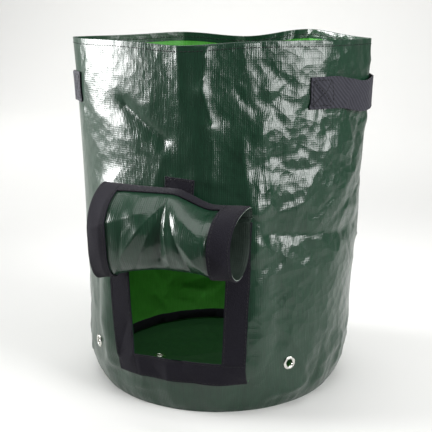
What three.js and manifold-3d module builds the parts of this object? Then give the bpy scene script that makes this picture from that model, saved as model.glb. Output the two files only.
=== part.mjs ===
// Planter bag of woven polyethylene sheet: an open tube on a round base, with a harvest window low in front.
// The window's flap is rolled up and held by a tab. Webbing handles are sewn on near the rim, and metal
// eyelets drain the wall and the base.
// Millimetres, +Z up. The origin is the centre of the base on the ground, the window faces -Y and the handles
// are at -X and +X. Angles around the bag start at the window (-Y) and grow towards +X.

import * as THREE from "three";
import { mergeVertices } from "three/addons/utils/BufferGeometryUtils.js";
import Module from "manifold-3d";

const wasm = await Module();
wasm.setup();

const degree = Math.PI / 180;

// Sheet, clearances and mesh steps
const sheet = 0.6;
const clearance = 0.3;
const wallSteps = 56;
const rowStep = 34;
const roundSteps = 14;
const outlineSteps = 6;
const flapSteps = { side: 3, middle: 10, hang: 3, roll: 13, edge: 7 };
const handleRowSteps = 2;
const shortestTurn = 0.5;
const frontTurn = 80;

// Bag body: a round foot that opens into an oval rim
const bagHeight = 450;
const baseRadius = 162;
const girthRadius = 176;
const tuckHeight = 20;
const rimHalfWidth = 196;
const rimHalfDepth = 152;
const rimTurn = 9;
const rimFlatness = 0.2;
const rimFlatnessPower = 1.5;
const lean = { x: -3.4, y: 9.8 };
const bow = 3;
const hemHeight = 12;

// Base seam: the wall folds under and both raw edges stand up inside a bound tape
const seamHeight = 16;
const foldWidth = 3;
const bindingThickness = 0.9;
const bindingHeight = 13;

// Window and its tapes
const openingWidth = 128;
const openingHeight = 180;
const sillHeight = 70;
const windowTaper = { left: 17, right: 3 };
const tapeWidth = 28;
const tapeThickness = 1.6;
const windowFlatness = 0.4;
const windowFlatAngle = 30;
const windowFadeAngle = 15;

// Rolled flap: its top drops past the tab. Its bottom and depth are given at the left, middle and right.
const flapSeamMargin = 12;
const flapSeamClearance = 0.9;
const flapBackClearance = 8;
const flapStepLength = 4;
const flapTapeStart = 34;
const rollTops = { left: 281, right: 264 };
const rollDropWidth = 50;
const rollBottoms = [170, 191, 186];
const rollDepths = [37, 57, 54];
const rollStraightness = 0.5;
const rollEndCurl = 6;
const tuckedLength = 12;
const tuckedRadius = 4;

// Holder tab above the window
const tabWidth = 37;
const tabHeight = 29;
const tabOffset = 5;
const tabTilt = 4;

// Handles
const webbingWidth = 38;
const webbingThickness = 2;
const handleDrop = 61;
const handleLength = 206;
const handleSewnLength = 40;
const handleSlack = 6;
const handleSag = 8;

// Eyelets
const eyeletHoleRadius = 4.6;
const eyeletMetal = 0.8;
const eyeletDome = 1.3;
const eyeletFlangeRadius = 8.5;
const eyeletLipRadius = 6.6;
const washerSpace = 0.7;
const seatHeightRatio = 1.8;
const seatRadiusRatio = 2.34;
const wallEyeletAngles = [-44, 49];
const wallEyeletHeight = 61;
const floorEyeletAngles = [-71, 77];
const floorEyeletCircle = 83;
const cupRadius = 10;
const cupSlope = 4;
const cupRim = 2;

// Folds that start at the rim: where they are, how far down they go, how far they stand out and spread
const rimFolds = [
  { angle: 2, drop: 120, rise: 6, reach: 22, lift: -5 },
  { angle: 98, drop: 230, rise: 4, reach: 24, lift: 0 },
  { angle: -82, drop: 230, rise: 4, reach: 24, lift: 0 },
  { angle: -142, drop: 200, rise: 5, reach: 30, lift: 4 },
  { angle: 182, drop: 170, rise: -7, reach: 26, lift: -3 },
  { angle: 146, drop: 160, rise: 5, reach: 22, lift: 9 },
];
const rimLiftSpread = 22;
const rimLiftHeight = 130;

// Folds in the wall, from one angle and height to another
const wallFolds = [
  { from: [36, 345], to: [34, 215], rise: 4, reach: 18 },
  { from: [38, 226], to: [82, 212], rise: -4, reach: 15 },
  { from: [-27, 368], to: [-6, 335], rise: -4, reach: 16 },
  { from: [98, 84], to: [52, 24], rise: 3, reach: 14 },
  { from: [-66, 36], to: [-30, 42], rise: 3, reach: 12 },
  { from: [-150, 250], to: [-115, 190], rise: -4, reach: 18 },
  { from: [160, 170], to: [120, 230], rise: 3, reach: 18 },
];
const foldStart = 30;
const puckerCount = 20;
const puckerRise = 1.1;
const puckerHeight = 20;

// Places that follow from the sizes above
const openingTop = sillHeight + openingHeight;
const halfOpening = openingWidth / 2;
const flapWidth = openingWidth + 2 * tapeWidth;
const flapLength = openingHeight + tapeWidth;
const flapSeamTop = openingTop + flapSeamMargin;
const tabBottom = flapSeamTop + Math.sin(tabTilt * degree) * tabWidth / 2 + 2 * clearance;
const handleHeight = bagHeight - handleDrop;
const barrelRadius = eyeletHoleRadius + eyeletMetal;
const holeRadius = barrelRadius + clearance;
const seatHeight = seatHeightRatio * eyeletFlangeRadius;
const seatRadius = seatRadiusRatio * eyeletFlangeRadius;
const floorLift = eyeletDome + 2 * clearance;
const returnOuter = baseRadius - foldWidth + sheet;
const returnInner = baseRadius - foldWidth;
const flangeOuter = returnInner - clearance;
const flangeInner = flangeOuter - sheet;

// Finishes
const tarp = new THREE.MeshStandardMaterial({ color: 0x21503a, roughness: 0.3, metalness: 0 });
const blackTape = new THREE.MeshStandardMaterial({ color: 0x25262b, roughness: 0.9, metalness: 0 });
const webbing = new THREE.MeshStandardMaterial({ color: 0x3f3d45, roughness: 0.85, metalness: 0 });
const nickel = new THREE.MeshStandardMaterial({ color: 0xb9bab6, roughness: 0.25, metalness: 1 });

function smoothstep(low, high, value) {
  return THREE.MathUtils.smoothstep(value, low, high);
}

function turnBetween(a, b) {
  return THREE.MathUtils.euclideanModulo(a - b + 180, 360) - 180;
}

// The quadratic through three values, at the left end, the middle and the right end
function throughThree([left, middle, right], along) {
  return middle + (right - left) / 2 * along + ((right + left) / 2 - middle) * along * along;
}

// Radius of the plain bag: a round foot, opening to an oval whose four sides are a little flat at the rim
function ovalRadius(angle, z) {
  const share = z / bagHeight;
  const foot = baseRadius + (girthRadius - baseRadius) * (1 - Math.exp(-z / tuckHeight));
  const halfWidth = foot + (rimHalfWidth - girthRadius) * share;
  const halfDepth = foot + (rimHalfDepth - girthRadius) * share;
  const s = Math.abs(Math.sin((angle - rimTurn) * degree));
  const c = Math.abs(Math.cos((angle - rimTurn) * degree));
  const oval = 1 / Math.hypot(s / halfWidth, c / halfDepth);
  const straight = 1 / (s / halfWidth + c / halfDepth);
  return THREE.MathUtils.lerp(oval, straight, rimFlatness * share ** rimFlatnessPower);
}

// The tape frame holds the wall flat round the window
function windowPanelRadius(radius, angle, z) {
  const off = Math.abs(turnBetween(angle, 0));
  const beside = 1 - smoothstep(windowFlatAngle, windowFlatAngle + windowFadeAngle, off);
  const above = 1 - smoothstep(openingTop, openingTop + 2 * tapeWidth, z);
  const below = smoothstep(foldStart, sillHeight, z);
  const share = windowFlatness * beside * above * below;
  return share > 0 ? THREE.MathUtils.lerp(radius, ovalRadius(0, z) / Math.cos(off * degree), share) : radius;
}

// A crease: highest along its line and falling away on both sides
function crease(across, along, { rise, reach }) {
  return rise * Math.exp(-Math.hypot(across, along) / reach);
}

function foldRise(angle, z) {
  let rise = 0;
  for (const fold of rimFolds) {
    const across = turnBetween(angle, fold.angle) * degree * girthRadius;
    const fade = smoothstep(-fold.drop, 0, z - bagHeight);
    rise += fade * crease(across, Math.max(0, bagHeight - fold.drop - z), fold);
  }
  for (const fold of wallFolds) {
    const [startAngle, startZ] = fold.from;
    const dx = (fold.to[0] - startAngle) * degree * girthRadius;
    const dz = fold.to[1] - startZ;
    const x = turnBetween(angle, startAngle) * degree * girthRadius;
    const t = THREE.MathUtils.clamp((x * dx + (z - startZ) * dz) / (dx * dx + dz * dz), 0, 1);
    rise += crease(x - t * dx, z - startZ - t * dz, fold);
  }
  const pucker = Math.cos(puckerCount * angle * degree) * (z / puckerHeight) * Math.exp(1 - z / puckerHeight);
  return rise * smoothstep(0, foldStart, z) + puckerRise * pucker;
}

function creasedRadius(angle, z) {
  return windowPanelRadius(ovalRadius(angle, z), angle, z) + foldRise(angle, z);
}

// The wall lies flat under each eyelet
function wallRadius(angle, z) {
  let radius = creasedRadius(angle, z);
  for (const eyeletAngle of wallEyeletAngles) {
    const turn = turnBetween(angle, eyeletAngle) * degree;
    const away = Math.hypot(turn * girthRadius, z - wallEyeletHeight);
    if (away < 2 * seatRadius) {
      const flat = creasedRadius(eyeletAngle, wallEyeletHeight) / Math.cos(turn);
      radius = THREE.MathUtils.lerp(flat, radius, smoothstep(seatRadius, 2 * seatRadius, away));
    }
  }
  return radius;
}

function rimLift(angle, z) {
  const share = smoothstep(bagHeight - rimLiftHeight, bagHeight, z);
  let sum = 0;
  for (const fold of rimFolds) {
    sum += fold.lift * Math.exp(-((turnBetween(angle, fold.angle) / rimLiftSpread) ** 2));
  }
  return share * sum;
}

// The bag leans back a little and bows sideways
function axisOffset(z) {
  const share = z / bagHeight;
  return new THREE.Vector2(lean.x * share + bow * Math.sin(Math.PI * share), lean.y * share);
}

// A point of the wall's outer face, moved outwards by "out" along the level normal
function wallPoint(angle, z, out = 0) {
  const radius = wallRadius(angle, z);
  const step = 0.5;
  const slope = (wallRadius(angle + step, z) - wallRadius(angle - step, z)) / (2 * step * degree);
  const away = new THREE.Vector2(radius, -slope).normalize().multiplyScalar(out);
  const a = angle * degree;
  const x = Math.sin(a) * (radius + away.x) + Math.cos(a) * away.y;
  const y = -Math.cos(a) * (radius + away.x) + Math.sin(a) * away.y;
  const axis = axisOffset(z);
  return new THREE.Vector3(x + axis.x, y + axis.y, z + rimLift(angle, z));
}

// Lines of points up the wall, placed so that each eyelet sits in the middle of a facet
const wallAngles = Array.from({ length: wallSteps }, (_, i) => {
  return turnBetween(wallEyeletAngles[0] + (360 / wallSteps) * (i + 0.5), 0);
}).sort((a, b) => a - b);
const wallRows = wallRowHeights();

// Heights of the wall's rows of points: one at each edge that something lines up with, and more between
function wallRowHeights() {
  const edges = [
    0, tuckHeight / 2, tuckHeight, wallEyeletHeight - seatHeight, wallEyeletHeight + seatHeight,
    openingTop, flapSeamTop, handleHeight - webbingWidth / 2, handleHeight, handleHeight + webbingWidth / 2,
    bagHeight - hemHeight, bagHeight,
  ].sort((a, b) => a - b);
  const rows = [edges[0]];
  for (const edge of edges.slice(1)) {
    const last = rows[rows.length - 1];
    const count = Math.max(1, Math.round((edge - last) / rowStep));
    for (let i = 1; i <= count; i++) rows.push(last + ((edge - last) * i) / count);
  }
  return rows;
}

// The chord of the wall's mesh at a given x in front, moved outwards
function wallAtX(x, z, out) {
  const front = wallAngles.filter((angle) => Math.abs(angle) < frontTurn);
  const points = front.map((angle) => wallPoint(angle, z, out));
  const next = points.findIndex((point) => point.x > x);
  const [a, b] = [points[next - 1], points[next]];
  return a.clone().lerp(b, (x - a.x) / (b.x - a.x));
}

function meshFrom(points, triangles) {
  const geometry = new THREE.BufferGeometry();
  const numbers = points.flatMap((point) => point.toArray());
  geometry.setAttribute("position", new THREE.Float32BufferAttribute(numbers, 3));
  geometry.setIndex(signedVolume(points, triangles) < 0 ? triangles.toReversed() : triangles);
  return geometry;
}

function signedVolume(points, triangles) {
  let sum = 0;
  for (let i = 0; i < triangles.length; i += 3) {
    const [a, b, c] = [points[triangles[i]], points[triangles[i + 1]], points[triangles[i + 2]]];
    sum += a.dot(new THREE.Vector3().crossVectors(b, c));
  }
  return sum;
}

// A closed outline carried all the way round the bag. From the point "inside" on, each facet is split along its
// other diagonal, so that the inner face keeps the same facets as the outer one.
function ringSolid(outlines, inside) {
  const count = outlines[0].length;
  const triangles = [];
  outlines.forEach((_, i) => {
    const here = i * count;
    const next = ((i + 1) % outlines.length) * count;
    for (let j = 0; j < count; j++) {
      const k = (j + 1) % count;
      if (j < inside) triangles.push(here + j, next + j, next + k, here + j, next + k, here + k);
      else triangles.push(here + j, next + j, here + k, next + j, next + k, here + k);
    }
  });
  return meshFrom(outlines.flat(), triangles);
}

// A sheet between two grids of points of the same size, closed along its four edges
function sheetSolid(under, over) {
  const [rows, columns] = [under.length, under[0].length];
  const points = [...under.flat(), ...over.flat()];
  const lifted = rows * columns;
  const triangles = [];
  const quad = (a, b, c, d) => triangles.push(a, b, c, a, c, d);
  for (let i = 0; i + 1 < rows; i++) {
    for (let j = 0; j + 1 < columns; j++) {
      const a = i * columns + j;
      const b = a + columns;
      const [c, d] = [b + 1, a + 1];
      quad(lifted + a, lifted + b, lifted + c, lifted + d);
      quad(a, d, c, b);
    }
  }
  const border = [];
  for (let j = 0; j + 1 < columns; j++) border.push(j);
  for (let i = 0; i + 1 < rows; i++) border.push(i * columns + columns - 1);
  for (let j = columns - 1; j > 0; j--) border.push((rows - 1) * columns + j);
  for (let i = rows - 1; i > 0; i--) border.push(i * columns);
  border.forEach((a, i) => {
    const b = border[(i + 1) % border.length];
    quad(a, lifted + a, lifted + b, b);
  });
  return meshFrom(points, triangles);
}

function solidOf(geometry) {
  const bare = geometry.clone();
  bare.deleteAttribute("normal");
  bare.deleteAttribute("uv");
  const merged = mergeVertices(bare, 1e-4);
  return new wasm.Manifold(
    new wasm.Mesh({
      numProp: 3,
      vertProperties: new Float32Array(merged.attributes.position.array),
      triVerts: new Uint32Array(merged.index.array),
    }),
  );
}

function geometryOf(solid) {
  const mesh = solid.getMesh();
  const geometry = new THREE.BufferGeometry();
  geometry.setAttribute("position", new THREE.Float32BufferAttribute(mesh.vertProperties, 3));
  geometry.setIndex(new THREE.Uint32BufferAttribute(mesh.triVerts, 1));
  return geometry;
}

function cutAll(geometry, cutters) {
  const cut = cutters.reduce((solid, cutter) => solid.subtract(solidOf(cutter)), solidOf(geometry));
  return geometryOf(cut);
}

// The window narrows towards the base, where the wall is gathered: how far an upright line moves in
function windowShift(x, z) {
  const depth = Math.max(0, openingTop - z) / (openingTop - sillHeight + tapeWidth);
  return (x < 0 ? windowTaper.left : -windowTaper.right) * depth ** 2;
}

// An outline seen from the front, between two upright lines that follow the window's sides
function windowOutline(x0, x1, z0, z1) {
  const heights = evenSteps(z0, z1, outlineSteps);
  const side = (x) => heights.map((z) => new THREE.Vector2(x + windowShift(x, z), z));
  return [...side(x0), ...side(x1).reverse()];
}

// A straight prism from front to middle whose section is drawn in the front view
function frontPrism(outline) {
  const shape = new THREE.Shape(outline);
  const prism = new THREE.ExtrudeGeometry(shape, { depth: 2 * girthRadius, bevelEnabled: false });
  return prism.rotateX(Math.PI / 2);
}

// A turned solid about +Z from its closed profile of [radius, height] points
function turned(profile, steps, startAngle = 0) {
  const outline = [...profile, profile[0]].map(([radius, height]) => new THREE.Vector2(radius, height));
  return new THREE.LatheGeometry(outline, steps, startAngle * degree).rotateX(Math.PI / 2);
}

// Wall: up the outside, over the hem, down the inside, then under at the seam and up as the seam's raw edge
function bagWall() {
  const hemStart = bagHeight - hemHeight;
  const insideRows = wallRows.filter((z) => z > 0 && z <= hemStart).reverse();
  const outlines = wallAngles.map((angle) => {
    const [s, c] = [Math.sin(angle * degree), Math.cos(angle * degree)];
    const round = (radius, z) => new THREE.Vector3(s * radius, -c * radius, z);
    const outside = wallRows.map((z) => wallPoint(angle, z));
    const hem = [wallPoint(angle, bagHeight, -2 * sheet), wallPoint(angle, hemStart, -2 * sheet)];
    const inside = insideRows.map((z) => wallPoint(angle, z, -sheet));
    const seam = [
      round(baseRadius - sheet, sheet), round(returnOuter, sheet), round(returnOuter, seamHeight),
      round(returnInner, seamHeight), round(returnInner, 0),
    ];
    return [...outside, ...hem, ...inside, ...seam];
  });
  const opening = frontPrism(windowOutline(-halfOpening, halfOpening, sillHeight, openingTop));
  const shell = ringSolid(outlines, wallRows.length);
  return cutAll(shell, [opening, ...wallEyeletAngles.map(wallEyeletHole)]);
}

function wallEyeletHole(angle) {
  const hole = new THREE.CylinderGeometry(holeRadius, holeRadius, girthRadius / 2, roundSteps);
  const axis = axisOffset(wallEyeletHeight);
  hole.translate(0, -wallEyeletRadius(angle), wallEyeletHeight);
  return hole.rotateZ(angle * degree).translate(axis.x, axis.y, 0);
}

function wallEyeletRadius(angle) {
  return wallRadius(angle, wallEyeletHeight);
}

// Base: a disc on the ground whose edge turns up at the seam, with a shallow cup round each drain hole
function bagBase() {
  const disc = turned(
    [
      [0, 0], [flangeOuter, 0], [flangeOuter, seamHeight],
      [flangeInner, seamHeight], [flangeInner, sheet], [0, sheet],
    ],
    wallSteps,
    wallAngles[0],
  );
  const foot = cupRadius + cupSlope;
  const gap = new THREE.CylinderGeometry(foot, foot, seamHeight, roundSteps).rotateX(Math.PI / 2);
  const cup = turned(
    [
      [holeRadius, floorLift], [cupRadius, floorLift], [foot, 0], [foot + cupRim, 0], [foot + cupRim, sheet],
      [foot, sheet], [cupRadius, floorLift + sheet], [holeRadius, floorLift + sheet],
    ],
    roundSteps,
  );
  let solid = solidOf(disc);
  for (const angle of floorEyeletAngles) {
    const seat = new THREE.Matrix4().makeRotationZ(angle * degree);
    seat.multiply(new THREE.Matrix4().makeTranslation(0, -floorEyeletCircle, 0));
    const placed = (geometry) => solidOf(geometry.clone().applyMatrix4(seat));
    solid = solid.subtract(placed(gap)).add(placed(cup));
  }
  return geometryOf(solid);
}

// Binding: a tape folded over the two raw edges
function seamBinding() {
  const top = seamHeight + clearance;
  const low = top - bindingHeight;
  const over = top + bindingThickness;
  const outer = returnOuter + clearance;
  const inner = flangeInner - clearance;
  const [outside, inside] = [outer + bindingThickness, inner - bindingThickness];
  return turned(
    [
      [outer, low], [outside, low], [outside, over], [inside, over],
      [inside, low], [inner, low], [inner, top], [outer, top],
    ],
    wallSteps,
    wallAngles[0],
  );
}

// Tape sewn on the wall's face, cut to its outline seen from the front
function wallTape(outline) {
  const angles = wallAngles.filter((angle) => Math.abs(angle) < frontTurn);
  const face = (out) => wallRows.map((z) => angles.map((angle) => wallPoint(angle, z, out)));
  const skin = sheetSolid(face(clearance), face(clearance + tapeThickness));
  return geometryOf(solidOf(skin).intersect(solidOf(frontPrism(outline))));
}

function tabOutline() {
  const [w, h] = [tabWidth / 2, tabHeight / 2];
  const centre = new THREE.Vector2(tabOffset, tabBottom + h);
  const middle = new THREE.Vector2();
  const corners = [[-w, -h], [w, -h], [w, h], [-w, h]].map(([x, z]) => new THREE.Vector2(x, z));
  return corners.map((corner) => corner.rotateAround(middle, -tabTilt * degree).add(centre));
}

// The rolled flap's path in the plane across the roll, as distance from the wall and height.
// It steps off the wall and hangs, goes round the lower half of an oval, over the top and down behind.
function rollPath(x) {
  const along = x / (flapWidth / 2);
  const dropped = smoothstep(0, rollDropWidth, x - tabOffset);
  const top = THREE.MathUtils.lerp(rollTops.left, rollTops.right, dropped);
  const bottom = throughThree(rollBottoms, along);
  const front = flapBackClearance + throughThree(rollDepths, along);
  const tucked = 2 * tapeThickness + 2 * clearance + flapSeamClearance + sheet;
  const turn = tucked + tuckedRadius;
  const centre = (top + bottom) / 2;
  const halfDepth = (front - flapBackClearance) / 2;
  const seam = new THREE.Vector2(flapSeamClearance, openingTop);
  const stepped = new THREE.Vector2(flapBackClearance, openingTop - flapStepLength);
  const hung = new THREE.Vector2(flapBackClearance, Math.min(centre, openingTop - 2 * flapStepLength));
  const behind = new THREE.Vector2(tucked, top - tuckedRadius);
  const edge = new THREE.Vector2(tucked, top - tuckedLength);
  const path = new THREE.CurvePath();
  path.add(new THREE.LineCurve(seam, stepped));
  path.add(new THREE.LineCurve(stepped, hung));
  const drop = hung.y - bottom;
  path.add(new THREE.EllipseCurve(front - halfDepth, hung.y, halfDepth, drop, Math.PI, 2 * Math.PI));
  path.add(new THREE.EllipseCurve(turn, hung.y, front - turn, top - hung.y, 0, Math.PI / 2));
  path.add(new THREE.EllipseCurve(turn, behind.y, tuckedRadius, tuckedRadius, Math.PI / 2, Math.PI));
  path.add(new THREE.LineCurve(behind, edge));
  return path;
}

function flapPoint(x, length) {
  if (length <= 0) return wallAtX(x, openingTop - length, flapSeamClearance + sheet / 2);
  const along = x / (flapWidth / 2);
  const { x: out, y: z } = rollPath(x).getPoint(Math.min(1, length / flapLength));
  const wall = wallAtX(x, openingTop, sheet / 2);
  const middle = wallAtX(0, openingTop, sheet / 2);
  const bulge = THREE.MathUtils.clamp((out - flapBackClearance) / throughThree(rollDepths, along), 0, 1);
  const curl = rollEndCurl * Math.max(0, along) ** 3 * bulge;
  const back = THREE.MathUtils.lerp(wall.y, middle.y, rollStraightness * bulge);
  return new THREE.Vector3(x - curl, back - out, z);
}

function flapNormal(x, length) {
  const step = 0.5;
  const across = flapPoint(x + step, length).sub(flapPoint(x - step, length));
  const down = flapPoint(x, length + step).sub(flapPoint(x, length - step));
  return across.cross(down).normalize();
}

// A layer of the flap between two distances from its middle, outwards being the roll's outside
function flapSheet(columns, lengths, from, to) {
  const at = (x, length, out) => flapPoint(x, length).addScaledVector(flapNormal(x, length), out);
  const face = (out) => lengths.map((length) => columns.map((x) => at(x, length, out)));
  return sheetSolid(face(from), face(to));
}

function evenSteps(from, to, count) {
  return Array.from({ length: count + 1 }, (_, i) => from + ((to - from) * i) / count);
}

const flapLeftColumns = evenSteps(-flapWidth / 2, -halfOpening, flapSteps.side);
const flapMiddleColumns = evenSteps(-halfOpening, halfOpening, flapSteps.middle);
const flapRightColumns = evenSteps(halfOpening, flapWidth / 2, flapSteps.side);
const flapColumns = [...flapLeftColumns, ...flapMiddleColumns.slice(1, -1), ...flapRightColumns];
const flapHangLengths = evenSteps(flapStepLength, flapTapeStart, flapSteps.hang);
const flapRollLengths = evenSteps(flapTapeStart, flapLength - tapeWidth, flapSteps.roll);
const flapEdgeLengths = evenSteps(flapLength - tapeWidth, flapLength, flapSteps.edge);
const flapTapeLengths = [...flapRollLengths, ...flapEdgeLengths.slice(1)];
const flapLengths = [-flapSeamMargin, 0, ...flapHangLengths, ...flapTapeLengths.slice(1)];

function flapTape(columns, lengths) {
  const under = sheet / 2 + clearance;
  return flapSheet(columns, lengths, under, under + tapeThickness);
}

// Handle: sewn flat at both ends, with its middle hanging a little off the wall
function handle(middleAngle) {
  const halfTurn = handleLength / 2 / rimHalfWidth / degree;
  const sewnTurn = handleSewnLength / rimHalfWidth / degree;
  const lines = wallAngles.map((angle) => turnBetween(angle, middleAngle)).sort((a, b) => a - b);
  const inner = lines.filter((turn) => Math.abs(turn) < halfTurn - shortestTurn);
  const turns = [-halfTurn, ...inner, halfTurn];
  const rows = evenSteps(handleHeight - webbingWidth / 2, handleHeight + webbingWidth / 2, handleRowSteps);
  const free = (turn) => 1 - smoothstep(0, halfTurn - sewnTurn, Math.abs(turn));
  const at = (turn, z, out) => {
    const off = clearance + handleSlack * free(turn) + out;
    return wallPoint(middleAngle + turn, z - handleSag * free(turn), off);
  };
  const face = (out) => rows.map((z) => turns.map((turn) => at(turn, z, out)));
  return sheetSolid(face(0), face(webbingThickness));
}

// Eyelet along +Z: a flange on the outside, a barrel through the hole and a lip rolled over the washer
function eyelet() {
  const under = clearance;
  const lipTop = -sheet - 2 * washerSpace - eyeletMetal;
  const lipEnd = lipTop - eyeletMetal;
  return turned(
    [
      [eyeletHoleRadius, under + eyeletMetal], [eyeletHoleRadius, lipEnd],
      [eyeletLipRadius, lipEnd], [eyeletLipRadius, lipTop], [barrelRadius, lipTop], [barrelRadius, under],
      [eyeletFlangeRadius, under], [eyeletFlangeRadius, under + eyeletMetal / 2],
      [(eyeletFlangeRadius + barrelRadius) / 2, under + eyeletDome],
    ],
    roundSteps,
  );
}

function eyeletWasher() {
  const top = -sheet - washerSpace;
  const bottom = top - eyeletMetal;
  return turned(
    [[holeRadius, bottom], [eyeletFlangeRadius, bottom], [eyeletFlangeRadius, top], [holeRadius, top]],
    roundSteps,
  );
}

const bag = new THREE.Group();

function add(name, geometry, material, parent = bag) {
  const mesh = new THREE.Mesh(geometry, material);
  mesh.name = name;
  parent.add(mesh);
  return mesh;
}

const tapeOuter = halfOpening + tapeWidth;
const tapeTop = openingTop - flapStepLength - tapeThickness;
const tapeFoot = sillHeight - tapeWidth;
const edgeTapeEnd = halfOpening - clearance;
const edgeTapeColumns = flapMiddleColumns.map((x) => THREE.MathUtils.clamp(x, -edgeTapeEnd, edgeTapeEnd));

add("bag_wall", bagWall(), tarp);
add("bag_base", bagBase(), tarp);
add("base_seam_binding", seamBinding(), blackTape);
const leftTape = windowOutline(-tapeOuter, -halfOpening, tapeFoot, tapeTop);
const rightTape = windowOutline(halfOpening, tapeOuter, sillHeight + clearance, tapeTop);
const sillTape = windowOutline(-halfOpening + clearance, tapeOuter, tapeFoot, sillHeight);
add("window_tape_left", wallTape(leftTape), blackTape);
add("window_tape_right", wallTape(rightTape), blackTape);
add("window_tape_sill", wallTape(sillTape), blackTape);
add("window_flap", flapSheet(flapColumns, flapLengths, -sheet / 2, sheet / 2), tarp);
add("flap_tape_left", flapTape(flapLeftColumns, flapTapeLengths), blackTape);
add("flap_tape_right", flapTape(flapRightColumns, flapTapeLengths), blackTape);
add("flap_tape_edge", flapTape(edgeTapeColumns, flapEdgeLengths), blackTape);
add("flap_holder_tab", wallTape(tabOutline()), blackTape);
add("handle_left", handle(-90), webbing);
add("handle_right", handle(90), webbing);

wallEyeletAngles.forEach((angle, i) => {
  const seat = new THREE.Group();
  seat.position.set(...axisOffset(wallEyeletHeight).toArray(), 0);
  seat.rotation.z = angle * degree;
  bag.add(seat);
  const pieces = [
    add(`wall_eyelet_${i + 1}`, eyelet(), nickel, seat),
    add(`wall_eyelet_washer_${i + 1}`, eyeletWasher(), nickel, seat),
  ];
  for (const piece of pieces) {
    piece.position.set(0, -wallEyeletRadius(angle), wallEyeletHeight);
    piece.rotation.x = Math.PI / 2;
  }
});

floorEyeletAngles.forEach((angle, i) => {
  const seat = new THREE.Group();
  seat.rotation.z = angle * degree;
  bag.add(seat);
  const pieces = [
    add(`floor_eyelet_${i + 1}`, eyelet(), nickel, seat),
    add(`floor_eyelet_washer_${i + 1}`, eyeletWasher(), nickel, seat),
  ];
  for (const piece of pieces) {
    piece.position.set(0, -floorEyeletCircle, floorLift);
    piece.rotation.x = Math.PI;
  }
});

export default bag;
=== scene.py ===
"""Looks of a planter bag of woven polyethylene sheet, drawn over its CAD frame.

Shapes are worked out in millimetres, in the CAD frame, and made in metres. Angles round the bag are in
degrees, from the window (-Y) towards +X. Grids are arrays of rows by columns.
"""

import math

import bpy
import numpy as np
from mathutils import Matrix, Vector


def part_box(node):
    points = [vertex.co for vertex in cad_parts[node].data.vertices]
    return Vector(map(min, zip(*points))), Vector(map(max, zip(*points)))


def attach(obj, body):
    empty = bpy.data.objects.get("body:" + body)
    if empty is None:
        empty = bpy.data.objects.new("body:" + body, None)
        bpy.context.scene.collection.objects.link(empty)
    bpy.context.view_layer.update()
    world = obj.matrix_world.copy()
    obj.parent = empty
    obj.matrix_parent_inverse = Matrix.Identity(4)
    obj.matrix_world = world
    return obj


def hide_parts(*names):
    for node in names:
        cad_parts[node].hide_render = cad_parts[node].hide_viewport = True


bl_info = {
    "name": "Planter bag",
    "version": (1, 0, 0),
    "blender": (4, 2, 0),
    "location": "3D View > Sidebar > Planter bag",
    "description": "Builds a creased woven planter bag with a rolled window flap over its CAD frame",
    "category": "Object",
}

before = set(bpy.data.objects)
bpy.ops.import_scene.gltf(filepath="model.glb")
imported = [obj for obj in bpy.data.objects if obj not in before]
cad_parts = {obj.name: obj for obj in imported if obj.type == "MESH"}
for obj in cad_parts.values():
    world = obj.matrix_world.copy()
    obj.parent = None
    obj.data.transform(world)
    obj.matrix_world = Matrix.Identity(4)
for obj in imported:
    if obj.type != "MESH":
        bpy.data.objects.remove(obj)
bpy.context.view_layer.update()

# Sizes of the CAD frame, in millimetres
CLEARANCE = 0.3
BAG_HEIGHT = 450.0
BASE_RADIUS = 162.0
GIRTH_RADIUS = 176.0
TUCK_HEIGHT = 20.0
RIM_HALF_WIDTH = 196.0
RIM_HALF_DEPTH = 152.0
RIM_TURN = 9.0
RIM_FLATNESS = 0.2
LEAN_X, LEAN_Y, BOW = -3.4, 9.8, 3.0
HEM_HEIGHT, HEM_STITCH, THREAD_LIFT = 12.0, 6.5, 0.1
SEAM_HEIGHT = 16.0
SILL_HEIGHT, OPENING_TOP, HALF_OPENING = 70.0, 250.0, 64.0
TAPER_LEFT, TAPER_RIGHT = 17.0, -3.0
TAPE_WIDTH, TAPE_THICKNESS = 28.0, 1.6
WINDOW_FLATNESS = 0.4
FLAP_HALF_WIDTH, FLAP_LENGTH, FLAP_MARGIN = 92.0, 208.0, 12.0
FLAP_BACK, FLAP_SEAM, FLAP_STEP, FLAP_TAPE_START = 8.0, 0.9, 4.0, 34.0
ROLL_TOPS = (281.0, 264.0)
ROLL_BOTTOMS = (170.0, 191.0, 186.0)
ROLL_DEPTHS = (37.0, 57.0, 54.0)
TUCKED, TUCKED_RADIUS, TUCKED_LENGTH = 5.3, 4.0, 12.0
TAB_WIDTH, TAB_HEIGHT, TAB_OFFSET, TAB_TILT, TAB_BOTTOM = 37.0, 29.0, 5.0, 4.0, 263.9
WEBBING_WIDTH, WEBBING_THICKNESS = 38.0, 2.0
HANDLE_HEIGHT, HANDLE_LENGTH, HANDLE_SEWN, HANDLE_SLACK, HANDLE_SAG = 389.0, 206.0, 40.0, 6.0, 8.0
EYELET_HOLE, EYELET_METAL, EYELET_DOME, EYELET_FLANGE, EYELET_LIP = 4.6, 0.8, 1.3, 8.5, 6.6
EYELET_DEPTH, EYELET_EDGE, WASHER_GAP = 1.2, 0.25, 0.7
WALL_EYELET_ANGLES, WALL_EYELET_HEIGHT, SEAT_RADIUS = (-44.0, 49.0), 61.0, 19.9
FLOOR_EYELET_ANGLES, FLOOR_EYELET_CIRCLE, FLOOR_LIFT = (-71.0, 77.0), 83.0, 1.9
RETURN_OUTER, RETURN_INNER, FLANGE_OUTER, FLANGE_INNER = 159.6, 159.0, 158.7, 158.1

# Where the flat front goes over to the oval, in degrees from the window's middle, and the height of its foot
FLAT_FROM, FLAT_TO, FLAT_FOOT = 30.0, 45.0, 30.0
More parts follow.
